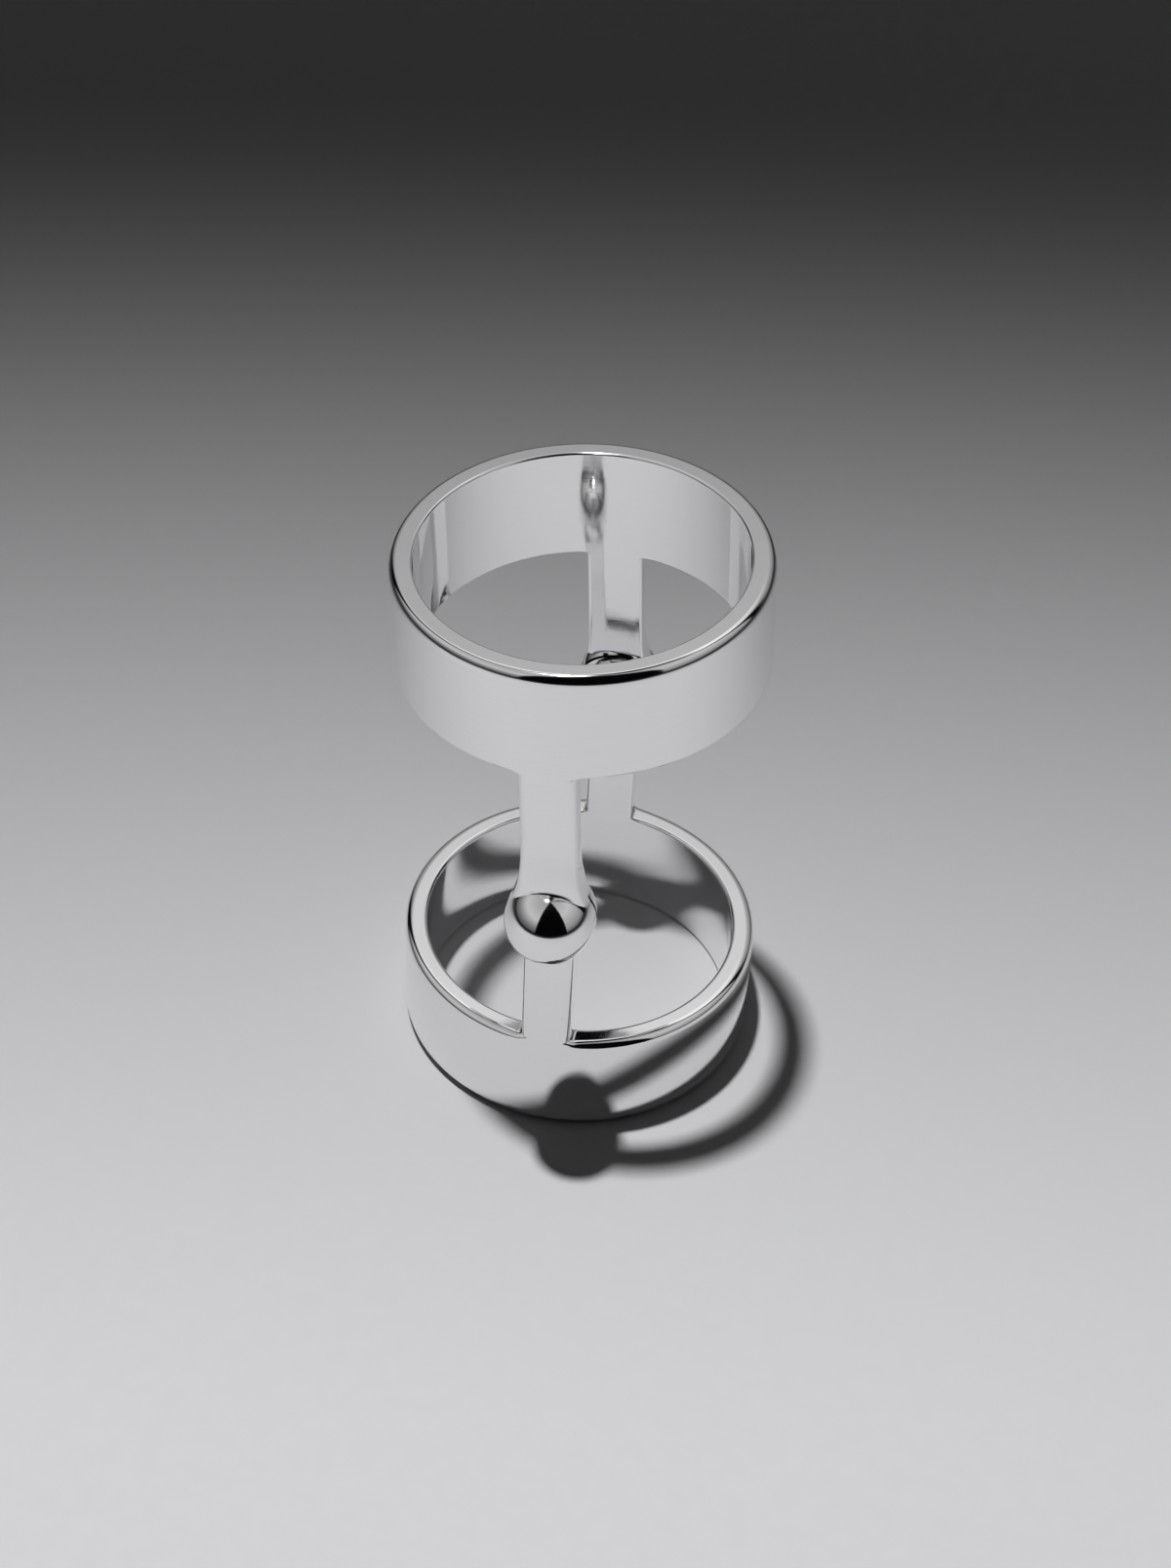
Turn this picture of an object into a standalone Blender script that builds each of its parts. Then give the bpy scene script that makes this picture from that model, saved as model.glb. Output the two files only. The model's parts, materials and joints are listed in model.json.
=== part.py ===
"""Articulated knuckle ring: two plain bands, one above the other, joined by a hinge
at the front and a hinge at the back. It stands on its lower band.

The hinge axis runs along Y, and +Z is up. The origin lies on the surface that the ring
stands on, under the centre of the whole object's box. All sizes are in metres.
"""
import math

import bmesh
import bpy

# Bands
BAND_OUTER_RADIUS = 0.01050
BAND_WALL = 0.00132
BAND_WIDTH = 0.00700
OUTER_EDGE_ROUND = 0.00033
INNER_EDGE_ROUND = 0.00015

# Arms: flush with the band's outer face, one at the front and one at the back
PIVOT_HEIGHT = 0.01715           # hinge axis above the table
PIVOT_TO_UPPER_BAND = 0.01045    # hinge axis to the upper band's lower edge
UPPER_ARM_WIDTH = 0.00310
LOWER_ARM_WIDTH = 0.00285
ARM_CORNER_ROUND = 0.00035       # hollow corner where an arm leaves its band
ARM_FLARE_ROUND = 0.00260        # hollow curve from an arm's side into its knuckle
ARM_ROOT = 0.00050               # how far an arm's solid runs into its band
ARM_TONGUE = 0.60                # of the knuckle's radius, the arm's end inside it
JOIN = 0.00004                   # joined shapes run past each other, so no faces coincide

# Knuckles: a ball split across the hinge axis, its outer half on the upper arms
KNUCKLE_RADIUS = 0.00253
OUTER_DOME_CENTRE = 0.01050      # distances from the bands' axis, along the hinge
OUTER_HALF_FACE = 0.00995
HINGE_GAP = 0.00030
INNER_DOME_CENTRE = 0.00990
SWEEP_CLEARANCE = 0.00030        # round a knuckle, to the arm that it turns past
RELIEF_RIM = 0.00350             # radius of the bevelled relief on the upper arm's inner face
LOWER_ARM_END = 0.85             # of the knuckle's radius, where a lower arm's sides run in
LOWER_ARM_SWELL = 0.00050        # how far a lower arm thickens inwards below its knuckle
SWELL_TOP = -0.00200             # measured from the hinge axis
SWELL_LENGTH = 0.00380

# Pins: hidden inside the knuckles
PIN_RADIUS = 0.00055
PIN_INNER_END = 0.00890
PIN_OUTER_END = 0.01140
PIN_CLEARANCE = 0.00030

# The upper ring leans a little to the left about the hinge
LEAN = math.radians(-3.0)

# Fineness
BAND_STEPS = 96
KNUCKLE_STEPS = 30
DOME_SEGMENTS = 7
PIN_STEPS = 20
MERGE_DISTANCE = 0.000002
SHARP_ANGLE = math.radians(35)

# Worked out from the sizes above
BAND_INNER_RADIUS = BAND_OUTER_RADIUS - BAND_WALL
PIVOT_TO_LOWER_BAND = PIVOT_HEIGHT - BAND_WIDTH
INNER_HALF_FACE = OUTER_HALF_FACE - HINGE_GAP
RELIEF_RADIUS = KNUCKLE_RADIUS + SWEEP_CLEARANCE
BEYOND = 0.00300                 # how far a cutter runs past what it cuts
LEFT_REACH = ((BAND_OUTER_RADIUS - OUTER_EDGE_ROUND) * math.cos(LEAN) + OUTER_EDGE_ROUND
              - (PIVOT_TO_UPPER_BAND + BAND_WIDTH - OUTER_EDGE_ROUND) * math.sin(LEAN))
HINGE_X = (LEFT_REACH - BAND_OUTER_RADIUS) / 2   # the leaning object's box stays centred

SIDES = {"front": -1, "back": 1}


def clear_scene():
    for old in list(bpy.data.objects):
        bpy.data.objects.remove(old, do_unlink=True)


def new_collection(name):
    collection = bpy.data.collections.new(name)
    bpy.context.scene.collection.children.link(collection)
    return collection


def make_metal(name, colour, roughness):
    metal = bpy.data.materials.new(name)
    metal.use_nodes = True
    shader = metal.node_tree.nodes["Principled BSDF"]
    shader.inputs["Base Color"].default_value = (*colour, 1.0)
    shader.inputs["Roughness"].default_value = roughness
    shader.inputs["Metallic"].default_value = 1.0
    metal.diffuse_color = (*colour, 1.0)
    return metal


def arc(centre, radius, start, end, segments):
    """Points on an arc, angles in degrees, both ends included."""
    points = []
    for step in range(segments + 1):
        angle = math.radians(start + (end - start) * step / segments)
        points.append((centre[0] + radius * math.cos(angle), centre[1] + radius * math.sin(angle)))
    return points


def turned(name, profile, steps, collection, closed=False):
    """A profile of (radius, height) pairs turned about Z, outer side from top to bottom."""
    mesh = bpy.data.meshes.new(name)
    edges = [(i, i + 1) for i in range(len(profile) - 1)]
    if closed:
        edges.append((len(profile) - 1, 0))
    mesh.from_pydata([(radius, 0.0, height) for radius, height in profile], edges, [])
    piece = bpy.data.objects.new(name, mesh)
    collection.objects.link(piece)
    screw = piece.modifiers.new("Turn", "SCREW")
    screw.axis = "Z"
    screw.steps = steps
    screw.render_steps = steps
    screw.use_merge_vertices = True
    screw.merge_threshold = MERGE_DISTANCE
    return piece


def extruded(name, outline, thickness, collection):
    """A flat outline of (across, along) pairs made solid, as a welded mesh, lying in XY."""
    curve = bpy.data.curves.new(name, "CURVE")
    curve.dimensions = "2D"
    curve.fill_mode = "BOTH"
    curve.extrude = thickness / 2
    spline = curve.splines.new("POLY")
    spline.points.add(len(outline) - 1)
    for point, (across, along) in zip(spline.points, outline):
        point.co = (across, along, 0.0, 1.0)
    spline.use_cyclic_u = True
    flat = bpy.data.objects.new(name + "_outline", curve)
    collection.objects.link(flat)

    evaluated = flat.evaluated_get(bpy.context.evaluated_depsgraph_get())
    mesh = bpy.data.meshes.new_from_object(evaluated)
    welder = bmesh.new()
    welder.from_mesh(mesh)
    bmesh.ops.remove_doubles(welder, verts=welder.verts, dist=MERGE_DISTANCE)
    bmesh.ops.recalc_face_normals(welder, faces=welder.faces)
    welder.to_mesh(mesh)
    welder.free()
    piece = bpy.data.objects.new(name, mesh)
    piece.matrix_world = flat.matrix_world
    collection.objects.link(piece)
    bpy.data.objects.remove(flat, do_unlink=True)
    return piece


def combine(piece, tool, operation):
    boolean = piece.modifiers.new(operation.title(), "BOOLEAN")
    boolean.operation = operation
    boolean.object = tool
    boolean.solver = "EXACT"


def as_tool(tool, parent=None):
    """Marks a piece as construction only, and ties it to the ring that it shapes."""
    tool.hide_render = True
    tool.display_type = "WIRE"
    if parent:
        tool.parent = parent
    return tool


def along_hinge(piece, side):
    """Lays a piece that was turned about Z along the hinge axis, its top outwards."""
    piece.rotation_euler = (-side * math.pi / 2, 0.0, 0.0)


def band_profile(bottom, top):
    """A band's section: both outer corners well rounded, both inner ones slightly."""
    outer = BAND_OUTER_RADIUS - OUTER_EDGE_ROUND
    inner = BAND_INNER_RADIUS + INNER_EDGE_ROUND
    points = arc((outer, top - OUTER_EDGE_ROUND), OUTER_EDGE_ROUND, 90, 0, 3)
    points += arc((outer, bottom + OUTER_EDGE_ROUND), OUTER_EDGE_ROUND, 0, -90, 3)
    points += arc((inner, bottom + INNER_EDGE_ROUND), INNER_EDGE_ROUND, -90, -180, 2)
    points += arc((inner, top - INNER_EDGE_ROUND), INNER_EDGE_ROUND, 180, 90, 2)
    return points


def arm_outline(width, reach, end_radius, upwards):
    """The arm from its band to its round knuckle, which is centred on the origin.

    reach is the distance from the hinge axis to the band's edge, and end_radius that
    to where the arm's sides meet the knuckle. The band lies above the knuckle if
    upwards is 1, and below it if upwards is -1.
    """
    half = width / 2
    flare = half + ARM_FLARE_ROUND
    flare_height = math.sqrt((end_radius + ARM_FLARE_ROUND) ** 2 - flare ** 2)
    touch = math.degrees(math.atan2(flare_height, flare))
    corner = (half + ARM_CORNER_ROUND, reach - ARM_CORNER_ROUND + JOIN)
    right = [(corner[0], reach + ARM_ROOT)]
    right += arc(corner, ARM_CORNER_ROUND, 90, 180, 3)
    right += arc((flare, flare_height), ARM_FLARE_ROUND, 180, 180 + touch, 5)
    right += arc((0.0, 0.0), KNUCKLE_RADIUS * ARM_TONGUE, touch, -90, 8)
    left = [(-across, along) for across, along in reversed(right[:-1])]
    return [(across, along * upwards) for across, along in right + left]


def make_arm(name, outline, side, wall, collection):
    """An arm's outline cut through its band's own wall, at the front or the back."""
    arm = extruded(name, outline, BAND_OUTER_RADIUS, collection)
    arm.rotation_euler = (math.pi / 2, 0.0, 0.0)
    arm.location = (0.0, side * BAND_OUTER_RADIUS, 0.0)
    combine(arm, wall, "INTERSECT")
    return arm


def upper_wall(ring, collection):
    """The tube that the upper arms are cut from, as thick as the band."""
    top = PIVOT_TO_UPPER_BAND + BAND_WIDTH / 2
    bottom = -2 * KNUCKLE_RADIUS
    outer = BAND_OUTER_RADIUS - JOIN
    inner = BAND_INNER_RADIUS + JOIN
    section = [(outer, top), (outer, bottom), (inner, bottom), (inner, top)]
    return as_tool(turned("upper_wall", section, BAND_STEPS, collection, closed=True), ring)


def lower_wall(ring, collection):
    """The tube that the lower arms are cut from, thicker inwards towards the knuckles."""
    top = 2 * KNUCKLE_RADIUS
    bottom = -PIVOT_TO_LOWER_BAND - BAND_WIDTH / 2
    outer = BAND_OUTER_RADIUS - JOIN
    inner = BAND_INNER_RADIUS + JOIN
    swollen = BAND_INNER_RADIUS - LOWER_ARM_SWELL
    section = [(outer, top), (outer, bottom), (inner, bottom),
               (inner, SWELL_TOP - SWELL_LENGTH), (swollen, SWELL_TOP), (swollen, top)]
    return as_tool(turned("lower_wall", section, BAND_STEPS, collection, closed=True), ring)


def outer_half(name, side, collection):
    """The dome on the outside of a knuckle, down to the flat face at the hinge gap."""
    profile = arc((0.0, OUTER_DOME_CENTRE), KNUCKLE_RADIUS, 90, 0, DOME_SEGMENTS)
    bottom = OUTER_HALF_FACE - JOIN
    profile += [(KNUCKLE_RADIUS, bottom), (0.0, bottom)]
    half = turned(name, profile, KNUCKLE_STEPS, collection)
    along_hinge(half, side)
    return half


def inner_half(name, side, collection):
    """The half of the ball that faces the finger, with its flat face at the hinge gap."""
    top = INNER_HALF_FACE + JOIN
    rim_angle = -math.degrees(math.asin((INNER_DOME_CENTRE - top) / KNUCKLE_RADIUS))
    profile = [(0.0, top)]
    profile += arc((0.0, INNER_DOME_CENTRE), KNUCKLE_RADIUS, rim_angle, -90, DOME_SEGMENTS)
    half = turned(name, profile, KNUCKLE_STEPS, collection)
    along_hinge(half, side)
    return half


def inner_relief(name, side, collection):
    """Room in an upper arm's inner side for the inner half, with a bevelled rim."""
    inside = BAND_INNER_RADIUS - BEYOND
    bevel = RELIEF_RIM - RELIEF_RADIUS
    profile = [(0.0, OUTER_HALF_FACE), (RELIEF_RADIUS, OUTER_HALF_FACE),
               (RELIEF_RADIUS, BAND_INNER_RADIUS + bevel / 2),
               (RELIEF_RIM, BAND_INNER_RADIUS - bevel / 4), (RELIEF_RIM, inside), (0.0, inside)]
    relief = turned(name, profile, KNUCKLE_STEPS, collection)
    along_hinge(relief, side)
    return relief


def outer_relief(name, side, collection):
    """Room in a lower arm's outer side for the outer half."""
    outside = BAND_OUTER_RADIUS + BEYOND
    profile = [(0.0, outside), (RELIEF_RADIUS, outside),
               (RELIEF_RADIUS, INNER_HALF_FACE), (0.0, INNER_HALF_FACE)]
    relief = turned(name, profile, KNUCKLE_STEPS, collection)
    along_hinge(relief, side)
    return relief


def pin_shape(name, side, radius, inner_end, outer_end, collection):
    profile = [(0.0, outer_end), (radius, outer_end), (radius, inner_end), (0.0, inner_end)]
    pin = turned(name, profile, PIN_STEPS, collection)
    along_hinge(pin, side)
    return pin


def make_upper_ring(parts, tools):
    """The upper band with its two arms and the outer halves of both knuckles."""
    bottom = PIVOT_TO_UPPER_BAND
    ring = turned("upper_ring", band_profile(bottom, bottom + BAND_WIDTH), BAND_STEPS, parts, closed=True)
    wall = upper_wall(ring, tools)
    outline = arm_outline(UPPER_ARM_WIDTH, bottom, KNUCKLE_RADIUS, 1)
    for place, side in SIDES.items():
        arm = make_arm("upper_arm_" + place, outline, side, wall, tools)
        combine(ring, as_tool(arm, ring), "UNION")
    for place, side in SIDES.items():
        combine(ring, as_tool(outer_half("outer_half_" + place, side, tools), ring), "UNION")
        combine(ring, as_tool(inner_relief("inner_relief_" + place, side, tools), ring), "DIFFERENCE")
        hole = pin_shape("upper_hole_" + place, side, PIN_RADIUS + PIN_CLEARANCE,
                         PIN_INNER_END - PIN_CLEARANCE, PIN_OUTER_END + PIN_CLEARANCE, tools)
        combine(ring, as_tool(hole, ring), "DIFFERENCE")
    ring.location = (HINGE_X, 0.0, PIVOT_HEIGHT)
    ring.rotation_euler = (0.0, LEAN, 0.0)
    return ring


def make_lower_ring(parts, tools):
    """The lower band with its two arms and the inner halves of both knuckles."""
    top = -PIVOT_TO_LOWER_BAND
    ring = turned("lower_ring", band_profile(top - BAND_WIDTH, top), BAND_STEPS, parts, closed=True)
    wall = lower_wall(ring, tools)
    outline = arm_outline(LOWER_ARM_WIDTH, -top, KNUCKLE_RADIUS * LOWER_ARM_END, -1)
    for place, side in SIDES.items():
        arm = make_arm("lower_arm_" + place, outline, side, wall, tools)
        combine(ring, as_tool(arm, ring), "UNION")
    for place, side in SIDES.items():
        combine(ring, as_tool(inner_half("inner_half_" + place, side, tools), ring), "UNION")
        combine(ring, as_tool(outer_relief("outer_relief_" + place, side, tools), ring), "DIFFERENCE")
        hole = pin_shape("lower_hole_" + place, side, PIN_RADIUS + PIN_CLEARANCE,
                         PIN_INNER_END - PIN_CLEARANCE, PIN_OUTER_END + PIN_CLEARANCE, tools)
        combine(ring, as_tool(hole, ring), "DIFFERENCE")
    ring.location = (HINGE_X, 0.0, PIVOT_HEIGHT)
    return ring


def make_pins(parts):
    """One plain pin inside each knuckle, held by the lower ring."""
    pins = []
    for place, side in SIDES.items():
        pin = pin_shape("hinge_pin_" + place, side, PIN_RADIUS, PIN_INNER_END, PIN_OUTER_END, parts)
        pin.location = (HINGE_X, 0.0, PIVOT_HEIGHT)
        pins.append(pin)
    return pins


def finish(piece, metal):
    """Keeps what the modifiers made as the piece's own mesh, smooth except at its edges."""
    evaluated = piece.evaluated_get(bpy.context.evaluated_depsgraph_get())
    mesh = bpy.data.meshes.new_from_object(evaluated)
    piece.modifiers.clear()
    piece.data = mesh
    mesh.shade_smooth()
    mesh.set_sharp_from_angle(angle=SHARP_ANGLE)
    mesh.materials.clear()
    mesh.materials.append(metal)


def main():
    clear_scene()
    parts = new_collection("knuckle_ring")
    tools = new_collection("cutters")
    polished = make_metal("polished_silver", (0.90, 0.90, 0.91), 0.05)
    plain = make_metal("plain_pin_metal", (0.62, 0.62, 0.64), 0.30)

    upper = make_upper_ring(parts, tools)
    lower = make_lower_ring(parts, tools)
    pins = make_pins(parts)
    for ring in (upper, lower):
        finish(ring, polished)
    for pin in pins:
        finish(pin, plain)


main()
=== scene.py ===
import json
import math

import bmesh
import bpy
from mathutils import Matrix, Vector


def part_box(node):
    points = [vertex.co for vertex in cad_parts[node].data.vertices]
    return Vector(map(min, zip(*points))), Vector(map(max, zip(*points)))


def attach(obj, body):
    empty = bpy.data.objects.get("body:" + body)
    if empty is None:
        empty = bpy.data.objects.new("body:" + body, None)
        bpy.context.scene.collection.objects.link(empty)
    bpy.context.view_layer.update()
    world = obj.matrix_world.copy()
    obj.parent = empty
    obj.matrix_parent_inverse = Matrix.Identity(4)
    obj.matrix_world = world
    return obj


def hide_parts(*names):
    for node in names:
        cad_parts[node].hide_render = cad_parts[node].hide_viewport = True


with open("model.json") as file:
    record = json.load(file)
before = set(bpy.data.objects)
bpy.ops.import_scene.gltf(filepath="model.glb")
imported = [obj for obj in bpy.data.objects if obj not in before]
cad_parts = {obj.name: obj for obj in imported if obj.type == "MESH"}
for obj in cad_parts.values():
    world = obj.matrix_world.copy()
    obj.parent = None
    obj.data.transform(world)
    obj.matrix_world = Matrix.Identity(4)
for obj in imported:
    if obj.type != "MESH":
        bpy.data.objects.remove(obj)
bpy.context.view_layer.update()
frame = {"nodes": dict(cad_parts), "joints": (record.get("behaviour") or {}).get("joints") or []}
mm = 0.001

hingePlace = Vector(frame["joints"][0]["pos_m"])
lean = math.radians(-3.0)          # the upper ring leans to the left about the hinge
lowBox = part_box("lower_ring")
outerRadius = (lowBox[1].x - lowBox[0].x) / 2

band = {
    "width": 7.0 * mm,
    "wall": 1.32 * mm,
    "roundSteps": 6,
    "settle": math.radians(20),    # inner columns are radial again this far from an arm's middle
    "sharp": math.radians(40),     # edges that turn more than this are rounded
    "slack": mm / 100,             # for telling points on the band's edge from those of the arm
    "rimSlack": 1.01,              # roundings from the rim that count as its rounded edge
}

upperArm = {
    "around": 216,                 # columns round the band
    "armColumns": 6,               # columns on each side of an arm's middle
    "outerRound": 0.46 * mm,       # rounding of the band's edges
    "innerRound": 0.13 * mm,
    "stretch": 1.6,                # the outer rounding runs this much further down the wall
    "bandEdge": 10.45 * mm,        # hinge axis to the band's edge
    "halfWidth": 1.59 * mm,
    "corner": 0.24 * mm,           # hollow corner at the band
    "flare": 7.50 * mm,            # hollow curve into the knuckle
    "endRadius": 2.50 * mm,        # circle that the flare runs into
    "edgeRound": 0.42 * mm,
    "innerEdgeRound": 0.17 * mm,
    "swell": 0.0,
    "proud": 0.60 * mm,            # the outer face swells to meet the ball
}

lowerArm = {
    "around": 240,
    "armColumns": 6,
    "outerRound": 0.52 * mm,
    "innerRound": 0.22 * mm,
    "stretch": 1.6,
    "bandEdge": hingePlace.z - band["width"],
    "halfWidth": 1.425 * mm,
    "corner": 0.20 * mm,
    "flare": 2.60 * mm,
    "endRadius": 2.15 * mm,
    "edgeRound": 0.36 * mm,
    "innerEdgeRound": 0.15 * mm,
    "swell": 0.50 * mm,            # thicker inwards towards the knuckle
    "proud": 0.0,
}

# distances from the hinge axis where these swells start and are full
swellSpan = (5.8 * mm, 2.0 * mm)
proudSpan = (5.5 * mm, 2.45 * mm)

# rows and columns of faces, the same way on every arm
armGrid = {
    "cornerTurns": (25, 45, 65, 90),    # degrees round the hollow corner
    "straightRows": 9,
    "flareRows": 12,
    "tipShare": 0.6,               # the end inside the knuckle narrows to this share
    "edgeShare": 0.99,             # columns further out than this are the arm's own edges
    "edgeRoom": 1.15,              # the others stand in by this many roundings
    "bareTip": 0.75,               # share of the flare's end below which no edge is rounded
}

knuckle = {
    "radius": 2.53 * mm,
    "outerCentre": outerRadius,    # distances from the bands' axis, along the hinge
    "outerFace": 9.93 * mm,        # the two halves meet with a narrow gap between them
    "innerFace": 9.76 * mm,
    "innerCentre": 9.90 * mm,
    "spare": 0.03 * mm,            # each half is made this much longer, then cut back
    "segments": 96,
    "rings": 48,
    "relief": 2.60 * mm,
    "reliefRim": 3.45 * mm,
    "rimDepth": (9.48 * mm, 9.03 * mm),
    "pin": 0.62 * mm,
    "pinFrom": 8.6 * mm,
    "pinTo": 11.7 * mm,
    "cutSlack": mm / 1000,         # a half ball is cut this little below its widest ring
    "beyond": 3 * mm,              # cutting tools run past the metal by this much
    "sides": {"front": -1, "back": 1},
}


def deselectAll():
    if bpy.context.object and bpy.context.object.mode != "OBJECT":
        bpy.ops.object.mode_set(mode="OBJECT")
    bpy.ops.object.select_all(action="DESELECT")


def makeActive(piece):
    deselectAll()
    piece.select_set(True)
    bpy.context.view_layer.objects.active = piece


def applyModifiers(piece):
    makeActive(piece)
    for modifier in list(piece.modifiers):
        bpy.ops.object.modifier_apply(modifier=modifier.name)


def applyPlace(piece):
    makeActive(piece)
    bpy.ops.object.transform_apply(location=True, rotation=True, scale=True)


def boolean(piece, tool, operation):
    cut = piece.modifiers.new(operation.title(), "BOOLEAN")
    cut.operation = operation
    cut.object = tool
    cut.solver = "EXACT"
    applyModifiers(piece)
    bpy.data.objects.remove(tool, do_unlink=True)


# leaves the piece in edit mode with the edges selected that pass the test
def editEdges(piece, test):
    makeActive(piece)
    bpy.ops.object.mode_set(mode="EDIT")
    bpy.ops.mesh.select_mode(type="EDGE")
    bpy.ops.mesh.select_all(action="DESELECT")
    shape = bmesh.from_edit_mesh(piece.data)
    for edge in shape.edges:
        if test(edge):
            edge.select_set(True)
    bmesh.update_edit_mesh(piece.data)


# where the arm's hollow flare starts, and where it meets the knuckle's circle
def flareOf(arm):
    centre = arm["halfWidth"] + arm["flare"]
    start = math.sqrt((arm["endRadius"] + arm["flare"]) ** 2 - centre ** 2)
    return start, start * arm["endRadius"] / (arm["endRadius"] + arm["flare"])


# half the arm's width at a distance from the hinge axis
def armHalfWidth(arm, distance):
    half = arm["halfWidth"]
    fromBand = max(arm["bandEdge"] - distance, 0.0)
    flareStart, flareEnd = flareOf(arm)
    if fromBand < arm["corner"]:
        return half + arm["corner"] - math.sqrt(arm["corner"] ** 2 - (arm["corner"] - fromBand) ** 2)
    if distance >= flareStart:
        return half
    if distance >= flareEnd:
        return half + arm["flare"] - math.sqrt(arm["flare"] ** 2 - (flareStart - distance) ** 2)
    tip = armGrid["tipShare"]
    return math.sqrt(arm["endRadius"] ** 2 - flareEnd ** 2) * (tip + (1 - tip) * distance / flareEnd)


# distances from the hinge axis of the rows of faces, from the band down
def armRows(arm):
    flareStart, flareEnd = flareOf(arm)
    rows = [arm["bandEdge"] - arm["corner"] * (1 - math.cos(math.radians(turn)))
            for turn in armGrid["cornerTurns"]]
    straight = rows[-1] - flareStart
    count = armGrid["straightRows"]
    rows += [rows[-1] - straight * row / count for row in range(1, count + 1)]
    count = armGrid["flareRows"]
    rows += [flareStart - (flareStart - flareEnd) * row / count for row in range(1, count + 1)]
    rows.append(flareEnd / 2)
    return rows


# how much of a swell is there at a distance from the hinge axis, with a soft start and end
def swellShare(distance, span):
    share = (span[0] - distance) / (span[0] - span[1])
    share = min(max(share, 0.0), 1.0)
    return share * share * (3 - 2 * share)


# angle from the front or back line, whichever is nearer
def sideAngle(x, y):
    return math.atan2(x, abs(y))


# band at the top, arms hanging from it to the hinge axis at the origin
def makeWall(name, arm):
    deselectAll()
    middle = arm["bandEdge"] + band["width"] / 2
    bpy.ops.mesh.primitive_cylinder_add(vertices=arm["around"], radius=outerRadius, depth=band["width"],
                                        end_fill_type="NOTHING", location=(0, 0, middle))
    wall = bpy.context.object
    wall.name = name
    applyPlace(wall)

    step = 2 * math.pi / arm["around"]
    edgeAngle = step * arm["armColumns"]
    within = edgeAngle + step / 4         # just outside the arm's edge columns
    low = arm["bandEdge"] + band["width"] / 4
    editEdges(wall, lambda edge: all(v.co.z < low and abs(sideAngle(v.co.x, v.co.y)) < within
                                     for v in edge.verts))
    height = arm["bandEdge"]
    for row in armRows(arm):
        bpy.ops.mesh.extrude_region_move(TRANSFORM_OT_translate={"value": (0, 0, row - height)})
        height = row
    bpy.ops.object.mode_set(mode="OBJECT")

    thick = wall.modifiers.new("Wall", "SOLIDIFY")
    thick.thickness = band["wall"]
    thick.offset = -1
    applyModifiers(wall)

    innerRadius = outerRadius - band["wall"]
    between = (outerRadius + innerRadius) / 2
    innerShare = math.sin(edgeAngle - step) / math.sin(edgeAngle)
    for vertex in wall.data.vertices:
        x, y, z = vertex.co
        angle = sideAngle(x, y)
        side = 1 if y > 0 else -1
        inside = math.hypot(x, y) < between
        if z < arm["bandEdge"] + band["slack"] and abs(angle) < within:    # on an arm
            share = math.sin(angle) / math.sin(edgeAngle)
            half = armHalfWidth(arm, z)
            if abs(share) < armGrid["edgeShare"]:    # leaves room to round the arm's edges
                half = (half - arm["edgeRound"] * armGrid["edgeRoom"]) / innerShare
            across = half * share
            if inside:
                radius = innerRadius - arm["swell"] * swellShare(z, swellSpan)
            else:
                radius = outerRadius + arm["proud"] * swellShare(z, proudSpan)
            vertex.co.x = across
            vertex.co.y = side * math.sqrt(radius ** 2 - across ** 2)
        elif inside:                      # the arms' sides are square through, not radial
            edgeTurn = math.asin(outerRadius * math.sin(edgeAngle) / innerRadius) - edgeAngle
            if abs(angle) < within:
                turned = math.asin(outerRadius * math.sin(angle) / innerRadius)
            else:
                fade = max(0.0, 1 - (abs(angle) - edgeAngle) / (band["settle"] - edgeAngle))
                turned = angle + math.copysign(edgeTurn * fade, angle)
            vertex.co.x = innerRadius * math.sin(turned)
            vertex.co.y = side * innerRadius * math.cos(turned)

    weights = wall.data.attributes.new("bevel_weight_edge", "FLOAT", "EDGE")
    shape = bmesh.new()
    shape.from_mesh(wall.data)
    layer = shape.edges.layers.float["bevel_weight_edge"]
    end = flareOf(arm)[1] * armGrid["bareTip"]
    for edge in shape.edges:
        heights = [v.co.z for v in edge.verts]
        outside = all(math.hypot(v.co.x, v.co.y) > between for v in edge.verts)
        inside = all(math.hypot(v.co.x, v.co.y) < between for v in edge.verts)
        sharp = edge.calc_face_angle(0.0) >= band["sharp"]
        if not sharp or min(heights) < end or not (outside or inside):
            continue
        if max(heights) < arm["bandEdge"] - band["slack"]:
            edge[layer] = arm["edgeRound" if outside else "innerEdgeRound"] / arm["outerRound"]
        elif outside:
            edge[layer] = 1.0
        else:
            edge[layer] = arm["innerRound"] / arm["outerRound"]
    shape.to_mesh(wall.data)
    shape.free()
    rounded = wall.modifiers.new("Rounded edges", "BEVEL")
    rounded.limit_method = "WEIGHT"
    rounded.width = arm["outerRound"]
    rounded.segments = band["roundSteps"]
    rounded.use_clamp_overlap = False
    applyModifiers(wall)
    rim = arm["bandEdge"] + band["width"]
    for vertex in wall.data.vertices:     # the polished edge eases into the wall
        fromRim = rim - vertex.co.z
        outside = math.hypot(vertex.co.x, vertex.co.y) > between
        if outside and fromRim < arm["outerRound"] * band["rimSlack"]:
            vertex.co.z = rim - fromRim * arm["stretch"]
    return wall


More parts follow.
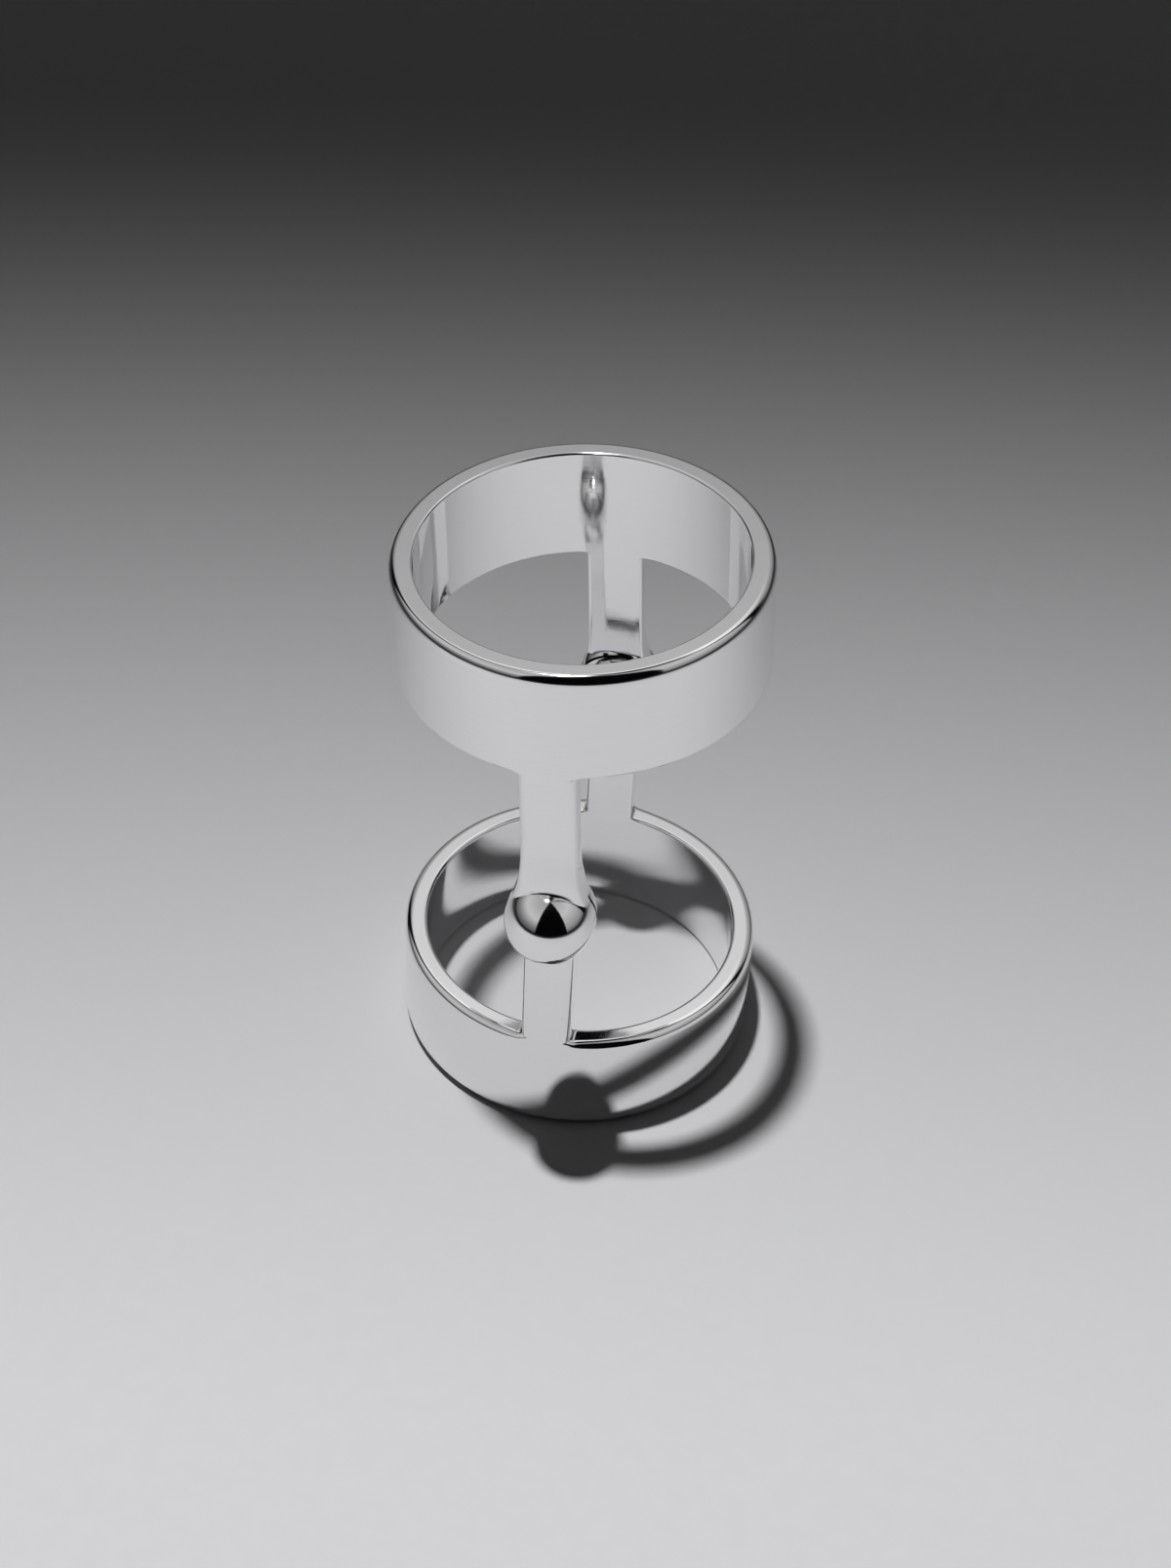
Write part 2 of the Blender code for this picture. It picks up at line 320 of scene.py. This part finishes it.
# part of a ball above its local floor, cut flat below and laid along the hinge
def makeHalfBall(name, reach, turn, centre):
    deselectAll()
    bpy.ops.mesh.primitive_uv_sphere_add(segments=knuckle["segments"], ring_count=knuckle["rings"],
                                         radius=knuckle["radius"], location=(0, 0, 0))
    ball = bpy.context.object
    ball.name = name
    bpy.ops.object.mode_set(mode="EDIT")
    bpy.ops.mesh.select_all(action="SELECT")
    cutAt = max(reach, -knuckle["cutSlack"])
    bpy.ops.mesh.bisect(plane_co=(0, 0, cutAt), plane_no=(0, 0, 1), clear_inner=True,
                        use_fill=reach > 0)
    bpy.ops.object.mode_set(mode="OBJECT")
    if reach < 0:                         # a straight belt below the half ball
        editEdges(ball, lambda edge: edge.is_boundary)
        bpy.ops.mesh.extrude_region_move(TRANSFORM_OT_translate={"value": (0, 0, reach)})
        bpy.ops.mesh.edge_face_add()
        bpy.ops.object.mode_set(mode="OBJECT")
    ball.rotation_euler = (turn, 0, 0)
    ball.location = centre
    applyPlace(ball)
    return ball


# a stack of round steps along the hinge, each a (radius, distance) pair, for cutting
def makeStepped(name, steps, turn):
    deselectAll()
    radius, start = steps[0]
    points = knuckle["segments"] - 2      # unlike the ball's, so that few of them meet
    bpy.ops.mesh.primitive_circle_add(vertices=points, radius=radius, fill_type="NGON",
                                      location=(0, 0, start))
    tool = bpy.context.object
    tool.name = name
    applyPlace(tool)
    bpy.ops.object.mode_set(mode="EDIT")
    bpy.ops.mesh.select_all(action="SELECT")
    for newRadius, distance in steps[1:]:
        bpy.ops.mesh.extrude_region_move(TRANSFORM_OT_translate={"value": (0, 0, distance - start)})
        if newRadius != radius:
            bpy.ops.transform.resize(value=(newRadius / radius, newRadius / radius, 1),
                                     center_override=(0, 0, distance))
        radius = newRadius
        start = distance
    bpy.ops.mesh.select_all(action="SELECT")
    bpy.ops.mesh.normals_make_consistent(inside=False)
    bpy.ops.object.mode_set(mode="OBJECT")
    tool.rotation_euler = (turn, 0, 0)
    applyPlace(tool)
    return tool


shading = {
    "wallSlack": mm / 2000,        # corners this near to a known surface take its direction,
    "ballSlack": mm / 500,
    "levelSlack": math.radians(0.2),
    "mostTurn": math.radians(20),  # unless their face is turned from it by more than this
    "smoothUnder": math.radians(32),
    "mergeUnder": mm / 5000,
}


# the true direction of the surface, where it is known, keeps reflections clean
def trueNormal(point, facing, balls):
    flat = Vector((point.x, point.y, 0))
    radius = flat.length
    guesses = []
    fromWall = min(abs(radius - outerRadius), abs(radius - outerRadius + band["wall"]))
    if fromWall < shading["wallSlack"]:
        guesses += [flat / radius, -flat / radius]
    for centre in balls:
        away = point - centre
        if abs(away.length - knuckle["radius"]) < shading["ballSlack"]:
            guesses.append(away / away.length)
    for axis in (Vector((0, 0, 1)), Vector((0, 0, -1))):
        if facing.angle(axis) < shading["levelSlack"]:
            guesses.append(axis)
    guesses = [guess for guess in guesses if guess.angle(facing) < shading["mostTurn"]]
    return min(guesses, key=lambda guess: guess.angle(facing)) if guesses else None


# shades a ring made round the hinge axis, and puts it in its place
def finishRing(ring, tilt, ballCentre):
    makeActive(ring)
    bpy.ops.object.mode_set(mode="EDIT")
    bpy.ops.mesh.select_all(action="SELECT")
    bpy.ops.mesh.remove_doubles(threshold=shading["mergeUnder"])
    bpy.ops.object.mode_set(mode="OBJECT")
    bpy.ops.object.shade_smooth_by_angle(angle=shading["smoothUnder"])
    shape = ring.data
    normals = [Vector(normal.vector) for normal in shape.corner_normals]
    balls = [Vector((0, side * ballCentre, 0)) for side in knuckle["sides"].values()]
    for face in shape.polygons:
        facing = Vector(face.normal)
        for corner in face.loop_indices:
            point = shape.vertices[shape.loops[corner].vertex_index].co
            exact = trueNormal(point, facing, balls)
            if exact:
                normals[corner] = exact
    shape.normals_split_custom_set(normals)
    ring.location = hingePlace
    ring.rotation_euler = (0, tilt, 0)
    applyPlace(ring)


def makeUpperRing():
    ring = makeWall("silverUpperRing", upperArm)
    for side in knuckle["sides"].values():
        outward = -side * math.pi / 2
        bottom = knuckle["outerFace"] - knuckle["spare"]
        dome = makeHalfBall("dome", bottom - knuckle["outerCentre"], outward,
                            (0, side * knuckle["outerCentre"], 0))
        boolean(ring, dome, "UNION")
        rimStart, rimEnd = knuckle["rimDepth"]
        relief = makeStepped("relief", [
            (knuckle["pin"], knuckle["pinTo"]), (knuckle["pin"], knuckle["outerFace"]),
            (knuckle["relief"], knuckle["outerFace"]), (knuckle["relief"], rimStart),
            (knuckle["reliefRim"], rimEnd),
            (knuckle["reliefRim"], rimEnd - knuckle["beyond"])], outward)
        boolean(ring, relief, "DIFFERENCE")
    finishRing(ring, lean, knuckle["outerCentre"])
    return ring


def makeLowerRing():
    ring = makeWall("silverLowerRing", lowerArm)
    ring.rotation_euler = (0, math.pi, 0)     # its arms stand up from the band
    applyPlace(ring)
    for side in knuckle["sides"].values():
        outward = -side * math.pi / 2
        start = knuckle["innerCentre"] - knuckle["innerFace"] - knuckle["spare"]
        ball = makeHalfBall("ball", start, -outward, (0, side * knuckle["innerCentre"], 0))
        boolean(ring, ball, "UNION")
        relief = makeStepped("relief", [
            (knuckle["relief"], knuckle["outerCentre"] + knuckle["beyond"]),
            (knuckle["relief"], knuckle["innerFace"]),
            (knuckle["pin"], knuckle["innerFace"]), (knuckle["pin"], knuckle["pinFrom"])], outward)
        boolean(ring, relief, "DIFFERENCE")
    finishRing(ring, 0, knuckle["innerCentre"])
    return ring


# looks of the silver
silver = {
    "colour": (0.90, 0.90, 0.905, 1),
    "deepColour": (0.87, 0.87, 0.875, 1),
    "roughness": 0.045,
    "hairlineRoughness": 0.05,
    "hairlineDepth": 0.0000008,
    "hairlineFineness": 9000,      # steps of the noise in a metre across the brushing
    "hairlineRun": 6.0,            # and in a radian along it
    "hairlineDetail": 3.0,
    "roughShare": (0.35, 0.75),    # where in the noise the finish goes from smooth to rough
    "deepShare": (0.5, 0.9),       # and the colour from light to deep
    "mottleDepth": 0.00001,
    "mottleScale": 260,
    "mottleDetail": 1.0,
}

pinMetal = {"colour": (0.62, 0.62, 0.64, 1), "roughness": 0.3}
floorLook = {"colour": (0.36, 0.36, 0.37, 1), "roughness": 0.7}
flagLook = {"colour": (0.03, 0.03, 0.03, 1), "roughness": 0.9}
plainGrain = {"scale": 900, "smoother": 0.85, "rougher": 1.15}


def addNode(tree, kind, **values):
    node = tree.nodes.new(kind)
    for name, value in values.items():
        setattr(node, name, value)
    return node


# brushing that runs round the bands: fine across, long along the circle
def makeHairlines():
    group = bpy.data.node_groups.new("polishHairlines", "ShaderNodeTree")
    face = group.interface
    face.new_socket("Place", in_out="INPUT", socket_type="NodeSocketVector")
    fine = face.new_socket("Fineness", in_out="INPUT", socket_type="NodeSocketFloat")
    fine.default_value = silver["hairlineFineness"]
    face.new_socket("Lines", in_out="OUTPUT", socket_type="NodeSocketFloat")
    start = addNode(group, "NodeGroupInput")
    end = addNode(group, "NodeGroupOutput")
    split = addNode(group, "ShaderNodeSeparateXYZ")
    turn = addNode(group, "ShaderNodeMath", operation="ARCTAN2")
    length = addNode(group, "ShaderNodeVectorMath", operation="LENGTH")
    flat = addNode(group, "ShaderNodeCombineXYZ")
    slow = addNode(group, "ShaderNodeMath", operation="MULTIPLY")
    slow.inputs[1].default_value = silver["hairlineRun"]
    across = addNode(group, "ShaderNodeMath", operation="MULTIPLY")
    up = addNode(group, "ShaderNodeMath", operation="MULTIPLY")
    place = addNode(group, "ShaderNodeCombineXYZ")
    noise = addNode(group, "ShaderNodeTexNoise", noise_dimensions="3D")
    noise.inputs["Scale"].default_value = 1.0
    noise.inputs["Detail"].default_value = silver["hairlineDetail"]
    links = group.links
    links.new(start.outputs["Place"], split.inputs[0])
    links.new(split.outputs["Y"], turn.inputs[0])
    links.new(split.outputs["X"], turn.inputs[1])
    links.new(split.outputs["X"], flat.inputs["X"])
    links.new(split.outputs["Y"], flat.inputs["Y"])
    links.new(flat.outputs[0], length.inputs[0])
    links.new(turn.outputs[0], slow.inputs[0])
    links.new(length.outputs["Value"], across.inputs[0])
    links.new(start.outputs["Fineness"], across.inputs[1])
    links.new(split.outputs["Z"], up.inputs[0])
    links.new(start.outputs["Fineness"], up.inputs[1])
    links.new(slow.outputs[0], place.inputs["X"])
    links.new(across.outputs[0], place.inputs["Y"])
    links.new(up.outputs[0], place.inputs["Z"])
    links.new(place.outputs[0], noise.inputs["Vector"])
    links.new(noise.outputs["Fac"], end.inputs["Lines"])
    return group


def makeSilver(name, tilt, hairlines):
    metal = bpy.data.materials.new(name)
    metal.use_nodes = True
    tree = metal.node_tree
    shader = tree.nodes["Principled BSDF"]
    shader.inputs["Metallic"].default_value = 1.0
    links = tree.links
    where = addNode(tree, "ShaderNodeTexCoord")
    own = addNode(tree, "ShaderNodeMapping", vector_type="TEXTURE")   # the ring's own frame
    own.inputs["Location"].default_value = hingePlace
    own.inputs["Rotation"].default_value = (0, tilt, 0)
    links.new(where.outputs["Object"], own.inputs["Vector"])
    lines = addNode(tree, "ShaderNodeGroup", node_tree=hairlines)
    links.new(own.outputs[0], lines.inputs["Place"])
    rough = addNode(tree, "ShaderNodeMapRange")
    rough.inputs["From Min"].default_value = silver["roughShare"][0]
    rough.inputs["From Max"].default_value = silver["roughShare"][1]
    rough.inputs["To Min"].default_value = silver["roughness"]
    rough.inputs["To Max"].default_value = silver["roughness"] + silver["hairlineRoughness"]
    links.new(lines.outputs["Lines"], rough.inputs["Value"])
    links.new(rough.outputs[0], shader.inputs["Roughness"])
    colour = addNode(tree, "ShaderNodeMix", data_type="RGBA")
    colour.inputs[6].default_value = silver["colour"]        # sockets 6 and 7 are its two colours
    colour.inputs[7].default_value = silver["deepColour"]
    share = addNode(tree, "ShaderNodeMapRange")
    share.inputs["From Min"].default_value = silver["deepShare"][0]
    share.inputs["From Max"].default_value = silver["deepShare"][1]
    links.new(lines.outputs["Lines"], share.inputs["Value"])
    links.new(share.outputs[0], colour.inputs[0])
    links.new(colour.outputs[2], shader.inputs["Base Color"])
    mottle = addNode(tree, "ShaderNodeTexNoise")
    mottle.inputs["Scale"].default_value = silver["mottleScale"]
    mottle.inputs["Detail"].default_value = silver["mottleDetail"]
    links.new(own.outputs[0], mottle.inputs["Vector"])
    soft = addNode(tree, "ShaderNodeBump")
    soft.inputs["Strength"].default_value = 1.0
    soft.inputs["Distance"].default_value = silver["mottleDepth"]
    links.new(mottle.outputs["Fac"], soft.inputs["Height"])
    fine = addNode(tree, "ShaderNodeBump")
    fine.inputs["Strength"].default_value = 1.0
    fine.inputs["Distance"].default_value = silver["hairlineDepth"]
    links.new(lines.outputs["Lines"], fine.inputs["Height"])
    links.new(soft.outputs[0], fine.inputs["Normal"])
    links.new(fine.outputs[0], shader.inputs["Normal"])
    return metal


def makePlain(name, look, metallic):
    plain = bpy.data.materials.new(name)
    plain.use_nodes = True
    tree = plain.node_tree
    shader = tree.nodes["Principled BSDF"]
    shader.inputs["Metallic"].default_value = metallic
    where = addNode(tree, "ShaderNodeTexCoord")
    grain = addNode(tree, "ShaderNodeTexNoise")
    grain.inputs["Scale"].default_value = plainGrain["scale"]
    tree.links.new(where.outputs["Object"], grain.inputs["Vector"])
    rough = addNode(tree, "ShaderNodeMapRange")
    rough.inputs["To Min"].default_value = look["roughness"] * plainGrain["smoother"]
    rough.inputs["To Max"].default_value = look["roughness"] * plainGrain["rougher"]
    tree.links.new(grain.outputs["Fac"], rough.inputs["Value"])
    tree.links.new(rough.outputs[0], shader.inputs["Roughness"])
    shader.inputs["Base Color"].default_value = look["colour"]
    return plain


hairlines = makeHairlines()
upper = makeUpperRing()
upper.data.materials.append(makeSilver("polishedSilverUpper", lean, hairlines))
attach(upper, "upper")
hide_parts("upper_ring")
print("upper ring", len(upper.data.polygons), "faces")

lower = makeLowerRing()
lower.data.materials.append(makeSilver("polishedSilverLower", 0, hairlines))
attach(lower, "lower")
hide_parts("lower_ring")
print("lower ring", len(lower.data.polygons), "faces")

pinLook = makePlain("drawnPinMetal", pinMetal, 1.0)
for pinName in ("hinge_pin_front", "hinge_pin_back"):
    pin = frame["nodes"][pinName]
    pin.data.materials.clear()
    pin.data.materials.append(pinLook)
print("hinge pins")

# floor, lights and camera
studio = {
    "floorSize": 6.0,
    "floorCells": 8,
    "keyDistance": 1.2,
    "keyTilt": (math.radians(8.0), math.radians(4.1)),    # from straight above, to the left and the back
    "keyAim": (0.0, -0.09, 0.0),      # the middle of its cone, on the floor in front of the ring
    "keySize": 0.030,
    "keyCone": math.radians(26),
    "keyFade": 1.0,
    "keyPower": 96.0,
    "glowInner": math.radians(2.5),   # soft glow round the key, seen in the metal alone
    "glowOuter": math.radians(8.0),
    "glow": 2.2,
    "flagSize": 1.4,                  # card that softly shades the floor behind the ring
    "flagHeight": 0.85,
    "flagTurn": 0.236,                # its edge lies level in the picture
    "halfShade": 0.038,               # how far behind the ring the floor is half shaded
    "fillSize": 3.0,
    "fillHeight": 2.6,
    "fillPower": 2.2,
    "dark": 0.0015,                   # what the metal sees outside the panels
}

# soft panels seen in the metal, in degrees: where each one's middle stands round from the front,
# half its width, how soft its sides are, and how bright it is at each height above the horizon
panels = {
    "left": {"middle": -70, "half": 46, "soft": 3,
             "heights": ((2, 0.0), (4, 0.07), (15, 0.20), (35, 0.55), (60, 0.42), (88, 0.30))},
    "right": {"middle": 84, "half": 30, "soft": 3,
              "heights": ((2, 0.0), (4, 0.10), (14, 0.30), (47, 0.55), (88, 0.35))},
    "back": {"middle": 177, "half": 49, "soft": 14,
             "heights": ((2, 0.0), (4, 0.16), (20, 0.26), (36, 0.38), (40, 0.50), (44, 0.62), (52, 0.85),
                         (62, 1.0), (68, 0.0))},
}
# the brightest, of which the panels' curves are shares
skyTop = max(light for panel in panels.values() for degrees, light in panel["heights"])

view = {
    "azimuth": 0.160,              # radians round from the front, to the right
    "elevation": 0.748,
    "distance": 166.36 * mm,
    "roll": 0.052,
    "target": (-0.081 * mm, 17.863 * mm),      # to the right of the hinge axis, and up
    "focalLength": 2955,           # in pixels of a picture this high
    "pictureHeight": 1607,
    "sensor": 36,
    "clipStart": 0.001,
}

deselectAll()
bpy.ops.mesh.primitive_grid_add(x_subdivisions=studio["floorCells"], y_subdivisions=studio["floorCells"],
                                size=studio["floorSize"], location=(0, 0, 0))
floor = bpy.context.object
floor.name = "floor"
floor.data.materials.append(makePlain("paleFloor", floorLook, 0.0))

keyDirection = Vector((-math.tan(studio["keyTilt"][0]), math.tan(studio["keyTilt"][1]), 1))
keyPlace = keyDirection * studio["keyDistance"]
flagFacing = Vector((-math.sin(studio["flagTurn"]), math.cos(studio["flagTurn"]), 0))
upShare = studio["flagHeight"] / keyPlace.z
flagEdge = keyPlace.dot(flagFacing) * upShare + studio["halfShade"] * (1 - upShare)
flagPlace = flagFacing * (flagEdge + studio["flagSize"] / 2) + Vector((0, 0, studio["flagHeight"]))
bpy.ops.mesh.primitive_plane_add(size=studio["flagSize"], location=flagPlace,
                                 rotation=(0, 0, studio["flagTurn"]))
flag = bpy.context.object
flag.name = "keyFlag"
flag.data.materials.append(makePlain("blackCard", flagLook, 0.0))
flag.visible_camera = False
flag.visible_glossy = False
flag.visible_diffuse = False


# what the metal reflects above the floor: the panels, and a glow round the key light
def makeStudioSky():
    sky = bpy.data.worlds.new("studioSky")
    sky.use_nodes = True
    tree = sky.node_tree
    where = addNode(tree, "ShaderNodeTexCoord")
    split = addNode(tree, "ShaderNodeSeparateXYZ")
    tree.links.new(where.outputs["Generated"], split.inputs[0])
    height = addNode(tree, "ShaderNodeMath", operation="ARCSINE")
    tree.links.new(split.outputs["Z"], height.inputs[0])
    total = None
    for name, panel in panels.items():
        turned = addNode(tree, "ShaderNodeVectorRotate", rotation_type="Z_AXIS", label=name)
        turned.inputs["Angle"].default_value = -math.radians(panel["middle"])
        tree.links.new(where.outputs["Generated"], turned.inputs["Vector"])
        parts = addNode(tree, "ShaderNodeSeparateXYZ")
        tree.links.new(turned.outputs[0], parts.inputs[0])
        frontward = addNode(tree, "ShaderNodeMath", operation="MULTIPLY")
        frontward.inputs[1].default_value = -1
        tree.links.new(parts.outputs["Y"], frontward.inputs[0])
        around = addNode(tree, "ShaderNodeMath", operation="ARCTAN2")
        tree.links.new(parts.outputs["X"], around.inputs[0])
        tree.links.new(frontward.outputs[0], around.inputs[1])
        off = addNode(tree, "ShaderNodeMath", operation="ABSOLUTE")
        tree.links.new(around.outputs[0], off.inputs[0])
        inside = addNode(tree, "ShaderNodeMapRange", interpolation_type="SMOOTHSTEP")
        inside.inputs["From Min"].default_value = math.radians(panel["half"] + panel["soft"] / 2)
        inside.inputs["From Max"].default_value = math.radians(panel["half"] - panel["soft"] / 2)
        tree.links.new(off.outputs[0], inside.inputs["Value"])
        level = addNode(tree, "ShaderNodeFloatCurve")
        curve = level.mapping.curves[0]
        curve.points[0].location = (0, 0)
        curve.points[1].location = (1, 0)
        for degrees, light in panel["heights"]:
            curve.points.new(degrees / 90, light / skyTop)
        for point in curve.points:
            point.handle_type = "VECTOR"
        level.mapping.update()
        share = addNode(tree, "ShaderNodeMath", operation="DIVIDE")
        share.inputs[1].default_value = math.pi / 2
        tree.links.new(height.outputs[0], share.inputs[0])
        tree.links.new(share.outputs[0], level.inputs["Value"])
        lit = addNode(tree, "ShaderNodeMath", operation="MULTIPLY")
        tree.links.new(inside.outputs[0], lit.inputs[0])
        tree.links.new(level.outputs[0], lit.inputs[1])
        if total:
            both = addNode(tree, "ShaderNodeMath", operation="ADD")
            tree.links.new(total.outputs[0], both.inputs[0])
            tree.links.new(lit.outputs[0], both.inputs[1])
            lit = both
        total = lit
    near = addNode(tree, "ShaderNodeVectorMath", operation="DOT_PRODUCT")
    near.inputs[1].default_value = keyDirection.normalized()
    tree.links.new(where.outputs["Generated"], near.inputs[0])
    fromKey = addNode(tree, "ShaderNodeMath", operation="ARCCOSINE")
    tree.links.new(near.outputs["Value"], fromKey.inputs[0])
    glow = addNode(tree, "ShaderNodeMapRange", interpolation_type="SMOOTHSTEP")
    glow.inputs["From Min"].default_value = studio["glowOuter"]
    glow.inputs["From Max"].default_value = studio["glowInner"]
    glow.inputs["To Min"].default_value = studio["dark"]
    glow.inputs["To Max"].default_value = studio["glow"]
    tree.links.new(fromKey.outputs[0], glow.inputs["Value"])
    strength = addNode(tree, "ShaderNodeMath", operation="MULTIPLY_ADD")
    strength.inputs[1].default_value = skyTop
    tree.links.new(total.outputs[0], strength.inputs[0])
    tree.links.new(glow.outputs[0], strength.inputs[2])
    tree.links.new(strength.outputs[0], tree.nodes["Background"].inputs["Strength"])
    tree.nodes["Background"].inputs["Color"].default_value = (1, 1, 1, 1)
    sky.cycles_visibility.diffuse = False      # the floor is lit by the lamps alone
    return sky


bpy.context.scene.world = makeStudioSky()

keyLamp = bpy.data.lights.new("keyLight", "SPOT")
keyLamp.energy = studio["keyPower"]
keyLamp.shadow_soft_size = studio["keySize"]
keyLamp.spot_size = studio["keyCone"]
keyLamp.spot_blend = studio["keyFade"]
key = bpy.data.objects.new("keyLight", keyLamp)
bpy.context.scene.collection.objects.link(key)
key.location = keyPlace
key.rotation_euler = (Vector(studio["keyAim"]) - key.location).to_track_quat("-Z", "Y").to_euler()

fillLamp = bpy.data.lights.new("fillLight", "AREA")
fillLamp.size = studio["fillSize"]
fillLamp.energy = studio["fillPower"]
fill = bpy.data.objects.new("fillLight", fillLamp)
bpy.context.scene.collection.objects.link(fill)
fill.location = (0, 0, studio["fillHeight"])
fill.visible_glossy = False
bpy.context.scene.view_settings.view_transform = "Standard"

# the camera's own right, back and up, first without its roll
right = Vector((math.cos(view["azimuth"]), math.sin(view["azimuth"]), 0))
back = Vector((math.sin(view["azimuth"]) * math.cos(view["elevation"]),
               -math.cos(view["azimuth"]) * math.cos(view["elevation"]), math.sin(view["elevation"])))
up = back.cross(right)
target = Vector((hingePlace.x, 0, view["target"][1])) + right * view["target"][0]
lens = bpy.data.cameras.new("camera")
lens.lens = view["focalLength"] / view["pictureHeight"] * view["sensor"]
lens.sensor_width = view["sensor"]
lens.clip_start = view["clipStart"]
camera = bpy.data.objects.new("camera", lens)
bpy.context.scene.collection.objects.link(camera)
rollRight = math.cos(view["roll"]) * right + math.sin(view["roll"]) * up
rollUp = -math.sin(view["roll"]) * right + math.cos(view["roll"]) * up
camera.matrix_world = Matrix((
    [rollRight.x, rollUp.x, back.x, target.x + back.x * view["distance"]],
    [rollRight.y, rollUp.y, back.y, target.y + back.y * view["distance"]],
    [rollRight.z, rollUp.z, back.z, target.z + back.z * view["distance"]],
    [0, 0, 0, 1]))
bpy.context.scene.camera = camera
print("floor, lights and camera")
